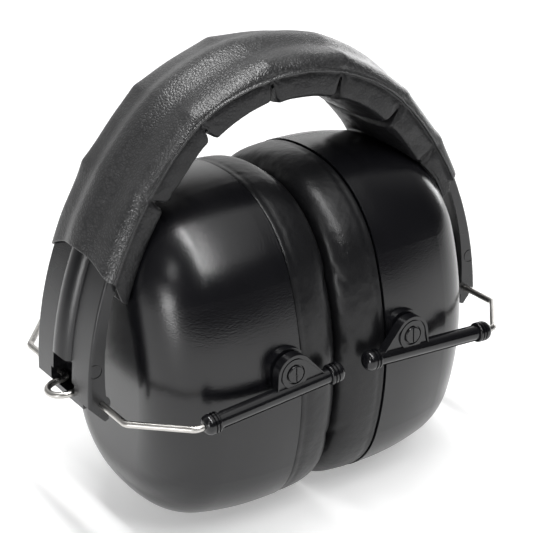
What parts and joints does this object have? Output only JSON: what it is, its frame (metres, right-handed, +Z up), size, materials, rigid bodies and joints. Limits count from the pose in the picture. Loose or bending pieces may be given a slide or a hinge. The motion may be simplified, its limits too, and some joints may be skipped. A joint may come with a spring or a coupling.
{
  "type": "earmuff hearing protector",
  "caption": "Folding over-head earmuff hearing protector with padded arch headband, two deep ear cups, wire yokes and sliding tubes, folded with the cups face to face.",
  "frame": {"origin": "on the surface the folded earmuff stands on, at the middle of its footprint, below the crown of the headband", "axes": "+Z up towards the crown of the headband, +X from the left cup to the right cup, +Y from the front slider tubes to the rear ones"},
  "size_m": [0.1528, 0.098, 0.1429],
  "materials": {
    "band_plastic": "matt moulded black plastic",
    "cover_leather": "pebble-grained black leatherette",
    "foam": "open-cell dark grey foam",
    "spring_wire": "bright drawn spring steel",
    "slider_plastic": "gloss black plastic",
    "pin_plastic": "gloss black plastic",
    "cup_plastic": "semi-gloss black plastic with a fine leather-like grain",
    "plate_plastic": "satin black plastic",
    "cushion_vinyl": "smooth satin black vinyl"
  },
  "bodies": {
    "headband": {"headband_frame": "band_plastic", "headband_cover": "cover_leather", "pad_foam_1": "foam", "pad_foam_2": "foam", "pad_foam_3": "foam", "pad_foam_4": "foam", "pad_foam_5": "foam", "pad_foam_6": "foam", "pad_foam_7": "foam"},
    "left_yoke": {"left_yoke_wire": "spring_wire"},
    "left_sliders": {"left_front_slider_tube": "slider_plastic", "left_front_entry_collar": "slider_plastic", "left_front_end_cap": "slider_plastic", "left_rear_slider_tube": "slider_plastic", "left_rear_entry_collar": "slider_plastic", "left_rear_end_cap": "slider_plastic"},
    "left_cup": {"left_cup_shell": "cup_plastic", "left_cushion_plate": "plate_plastic", "left_ear_cushion": "cushion_vinyl", "left_foam_liner": "foam", "left_front_pivot_pin": "pin_plastic", "left_rear_pivot_pin": "pin_plastic"},
    "right_yoke": {"right_yoke_wire": "spring_wire"},
    "right_sliders": {"right_front_slider_tube": "slider_plastic", "right_front_entry_collar": "slider_plastic", "right_front_end_cap": "slider_plastic", "right_rear_slider_tube": "slider_plastic", "right_rear_entry_collar": "slider_plastic", "right_rear_end_cap": "slider_plastic"},
    "right_cup": {"right_cup_shell": "cup_plastic", "right_cushion_plate": "plate_plastic", "right_ear_cushion": "cushion_vinyl", "right_foam_liner": "foam", "right_front_pivot_pin": "pin_plastic", "right_rear_pivot_pin": "pin_plastic"}
  },
  "joints": [
    {"name": "left_fold", "type": "hinge", "parent": "headband", "child": "left_yoke", "pos_m": [-0.0668, 0, 0.0505], "axis": [0, 1, 0], "range_deg": [0, 90]},
    {"name": "left_height", "type": "slide", "parent": "left_yoke", "child": "left_sliders", "axis": [0.9976, 0, 0.0698], "range_m": [0, 0.012]},
    {"name": "left_cup_tilt", "type": "hinge", "parent": "left_sliders", "child": "left_cup", "pos_m": [-0.02089, 0, 0.05912], "axis": [0, 1, 0], "range_deg": [-90, 0]},
    {"name": "right_fold", "type": "hinge", "parent": "headband", "child": "right_yoke", "pos_m": [0.0668, 0, 0.0505], "axis": [0, -1, 0], "range_deg": [0, 90]},
    {"name": "right_height", "type": "slide", "parent": "right_yoke", "child": "right_sliders", "axis": [-0.9976, 0, 0.0698], "range_m": [0, 0.012]},
    {"name": "right_cup_tilt", "type": "hinge", "parent": "right_sliders", "child": "right_cup", "pos_m": [0.02089, 0, 0.05912], "axis": [0, -1, 0], "range_deg": [-90, 0]}
  ],
  "couplings": [
    {"joint": "left_height", "follows": "left_fold", "m_per_rad": 0.00763},
    {"joint": "left_cup_tilt", "follows": "left_fold", "ratio": -1},
    {"joint": "right_height", "follows": "right_fold", "m_per_rad": 0.00763},
    {"joint": "right_cup_tilt", "follows": "right_fold", "ratio": -1}
  ]
}
